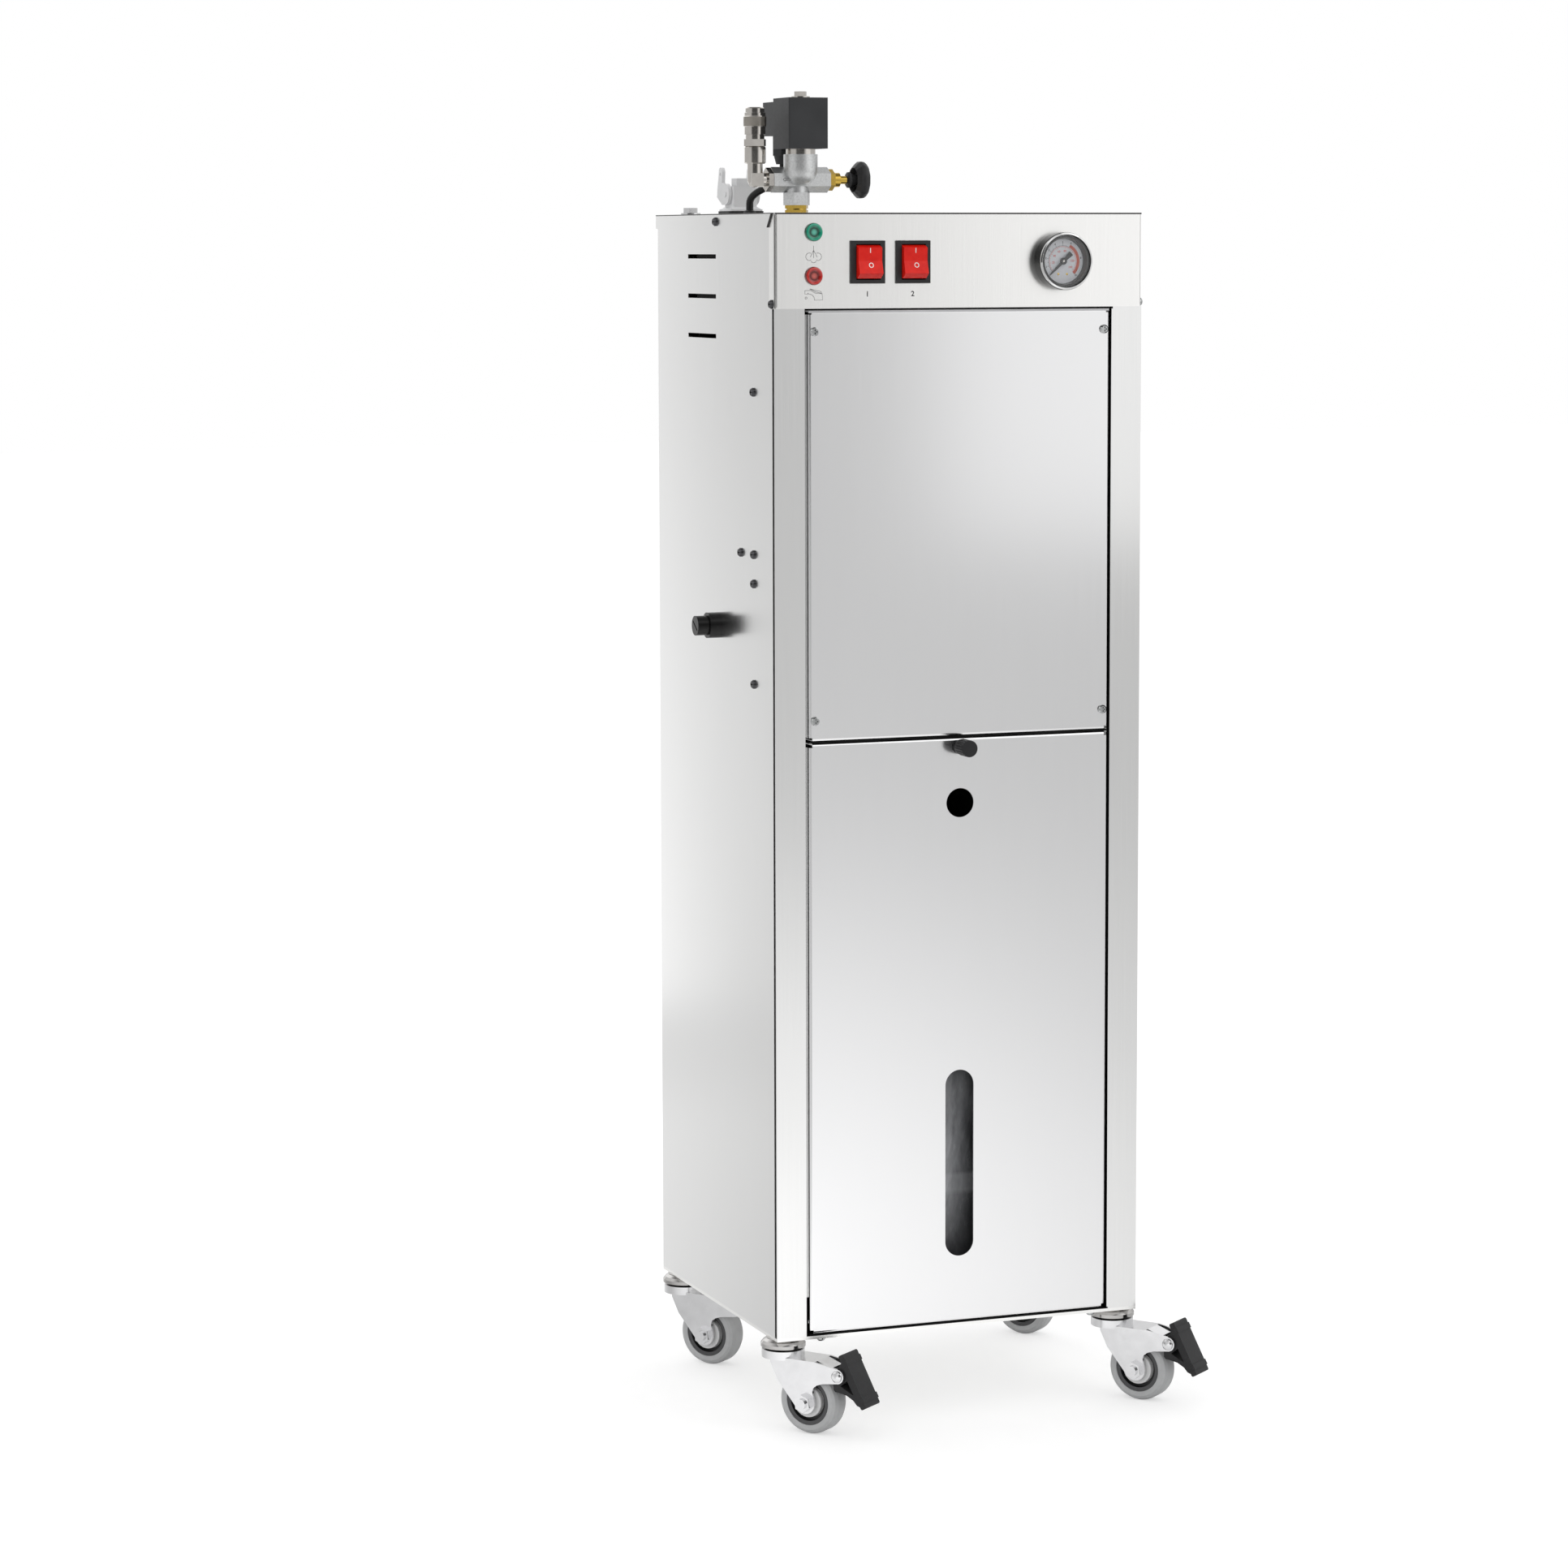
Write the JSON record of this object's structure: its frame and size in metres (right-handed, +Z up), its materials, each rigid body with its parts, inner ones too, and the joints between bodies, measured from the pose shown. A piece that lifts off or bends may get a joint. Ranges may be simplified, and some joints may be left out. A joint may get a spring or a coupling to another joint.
{
  "type": "steam boiler",
  "caption": "Freestanding steam boiler in a sheet steel cabinet on casters, with a solenoid steam valve, iron socket, gauge, rocker switches and a drop-down door.",
  "frame": {"origin": "on the floor, under the middle of the overall box", "axes": "+X to the right and +Y to the back as seen from the front, +Z up"},
  "size_m": [0.3586, 0.3298, 0.9998],
  "materials": {
    "panel_steel": "vertical brushed grain",
    "bright_steel": "bright, nearly mirror polished",
    "zinc_steel": "bright zinc plate",
    "nickel": "turned and nickel plated",
    "brass": "turned brass",
    "black_plastic": "fine matte",
    "gloss_black": "semi gloss",
    "red_plastic": "translucent gloss",
    "lamp_lens": "translucent lens",
    "dial_white": "printed white",
    "clear_glass": "clear",
    "tyre_grey": "smooth grey rubber on a black core",
    "light_plastic": "light grey moulding",
    "tank_plastic": "translucent natural white",
    "hose_rubber": "milky silicone",
    "copper": "bare copper",
    "vessel_steel": "satin welded",
    "board_green": "lacquered board",
    "pump_black": "satin"
  },
  "bodies": {
    "cabinet": {"base_tray": "panel_steel", "side_panel_left": "panel_steel", "side_panel_right": "panel_steel", "back_panel": "panel_steel", "front_frame": "panel_steel", "header_panel": "panel_steel", "top_lid": "panel_steel", "upper_panel": "bright_steel", "shelf": "panel_steel", "panel_screws": "nickel", "boiler_vessel": "vessel_steel", "heating_element": "copper", "safety_valve": "brass", "pressure_switch": "black_plastic", "feed_pump": "pump_black", "water_tank": "tank_plastic", "feed_hoses": "hose_rubber", "steam_pipes": "copper", "control_board": "board_green", "cable_gland": "black_plastic", "gauge_case": "nickel", "gauge_dial": "dial_white", "gauge_glass": "clear_glass", "indicator_lamps": "lamp_lens", "switch_frames": "gloss_black", "outlet_nipple": "brass", "valve_body": "nickel", "armature_tube": "nickel", "solenoid_coil": "black_plastic", "cable_connector": "black_plastic", "coil_cable": "black_plastic", "outlet_elbow": "nickel", "coupler_body": "nickel", "needle_bonnet": "brass", "socket_housing": "light_plastic", "socket_gasket": "black_plastic", "lid_bolt": "zinc_steel", "fuse_holder": "gloss_black", "hinge_brackets": "zinc_steel", "caster_mounts": "zinc_steel"},
    "gauge_needle": {"gauge_needle": "black_plastic"},
    "left_rocker": {"left_rocker": "red_plastic"},
    "right_rocker": {"right_rocker": "red_plastic"},
    "valve_plunger": {"valve_plunger": "nickel"},
    "coupler_sleeve": {"coupler_sleeve": "nickel"},
    "hand_knob": {"hand_knob": "gloss_black"},
    "socket_lever": {"socket_lever": "light_plastic"},
    "fuse_cap": {"fuse_cap": "gloss_black"},
    "door": {"door": "bright_steel"},
    "door_knob": {"door_knob": "black_plastic"},
    "fork_front_left": {"fork_front_left": "zinc_steel"},
    "fork_front_right": {"fork_front_right": "zinc_steel"},
    "fork_rear_left": {"fork_rear_left": "zinc_steel"},
    "fork_rear_right": {"fork_rear_right": "zinc_steel"},
    "wheel_front_left": {"wheel_front_left": "tyre_grey"},
    "wheel_front_right": {"wheel_front_right": "tyre_grey"},
    "wheel_rear_left": {"wheel_rear_left": "tyre_grey"},
    "wheel_rear_right": {"wheel_rear_right": "tyre_grey"},
    "brake_pedal_left": {"brake_pedal_left": "black_plastic"},
    "brake_pedal_right": {"brake_pedal_right": "black_plastic"}
  },
  "joints": [
    {"name": "gauge_needle_turn", "type": "hinge", "parent": "cabinet", "child": "gauge_needle", "pos_m": [0.06877, -0.12132, 0.874], "axis": [0, 1, 0], "range_deg": [0, 266]},
    {"name": "left_rocker_press", "type": "hinge", "parent": "cabinet", "child": "left_rocker", "pos_m": [-0.08653, -0.11584, 0.8739], "axis": [1, 0, 0], "range_deg": [0, 16]},
    {"name": "right_rocker_press", "type": "hinge", "parent": "cabinet", "child": "right_rocker", "pos_m": [-0.05053, -0.11584, 0.8739], "axis": [1, 0, 0], "range_deg": [0, 16]},
    {"name": "valve_plunger_lift", "type": "slide", "parent": "cabinet", "child": "valve_plunger", "axis": [0, 0, 1], "range_m": [0, 0.004], "stiffness_N_per_m": 200, "springref_m": -0.003},
    {"name": "coupler_sleeve_slide", "type": "slide", "parent": "cabinet", "child": "coupler_sleeve", "axis": [0, 0, -1], "range_m": [0, 0.003], "stiffness_N_per_m": 500, "springref_m": -0.003},
    {"name": "hand_knob_turn", "type": "hinge", "parent": "cabinet", "child": "hand_knob", "pos_m": [-0.09103, -0.04614, 0.9348], "axis": [1, 0, 0], "range_deg": [0, 720]},
    {"name": "socket_lever_swing", "type": "hinge", "parent": "cabinet", "child": "socket_lever", "pos_m": [-0.13043, 0.03386, 0.925], "axis": [1, 0, 0], "range_deg": [0, 75]},
    {"name": "fuse_cap_turn", "type": "hinge", "parent": "cabinet", "child": "fuse_cap", "pos_m": [-0.16913, 0.00706, 0.599], "axis": [-1, 0, 0], "range_deg": [0, 45]},
    {"name": "door_drop", "type": "hinge", "parent": "cabinet", "child": "door", "pos_m": [-0.01203, -0.11214, 0.0827], "axis": [1, 0, 0], "range_deg": [0, 90]},
    {"name": "door_knob_turn", "type": "hinge", "parent": "door", "child": "door_knob", "pos_m": [-0.01203, -0.11614, 0.51265], "axis": [0, 1, 0], "continuous": true},
    {"name": "fork_front_left_swivel", "type": "hinge", "parent": "cabinet", "child": "fork_front_left", "pos_m": [-0.14803, -0.09814, 0.057], "axis": [0, 0, 1], "continuous": true},
    {"name": "wheel_front_left_spin", "type": "hinge", "parent": "fork_front_left", "child": "wheel_front_left", "pos_m": [-0.13172, -0.11902, 0.025], "axis": [0.788, 0.6157, 0], "continuous": true},
    {"name": "fork_rear_left_swivel", "type": "hinge", "parent": "cabinet", "child": "fork_rear_left", "pos_m": [-0.14803, 0.12586, 0.057], "axis": [0, 0, 1], "continuous": true},
    {"name": "wheel_rear_left_spin", "type": "hinge", "parent": "fork_rear_left", "child": "wheel_rear_left", "pos_m": [-0.13172, 0.10498, 0.025], "axis": [0.788, 0.6157, 0], "continuous": true},
    {"name": "brake_pedal_left_press", "type": "hinge", "parent": "fork_front_left", "child": "brake_pedal_left", "pos_m": [-0.11448, -0.14109, 0.0484], "axis": [0.788, 0.6157, 0], "range_deg": [0, 9]},
    {"name": "fork_front_right_swivel", "type": "hinge", "parent": "cabinet", "child": "fork_front_right", "pos_m": [0.12397, -0.09814, 0.057], "axis": [0, 0, 1], "continuous": true},
    {"name": "wheel_front_right_spin", "type": "hinge", "parent": "fork_front_right", "child": "wheel_front_right", "pos_m": [0.14028, -0.11902, 0.025], "axis": [0.788, 0.6157, 0], "continuous": true},
    {"name": "fork_rear_right_swivel", "type": "hinge", "parent": "cabinet", "child": "fork_rear_right", "pos_m": [0.12397, 0.12586, 0.057], "axis": [0, 0, 1], "continuous": true},
    {"name": "wheel_rear_right_spin", "type": "hinge", "parent": "fork_rear_right", "child": "wheel_rear_right", "pos_m": [0.14028, 0.10498, 0.025], "axis": [0.788, 0.6157, 0], "continuous": true},
    {"name": "brake_pedal_right_press", "type": "hinge", "parent": "fork_front_right", "child": "brake_pedal_right", "pos_m": [0.15752, -0.14109, 0.0484], "axis": [0.788, 0.6157, 0], "range_deg": [0, 9]}
  ]
}
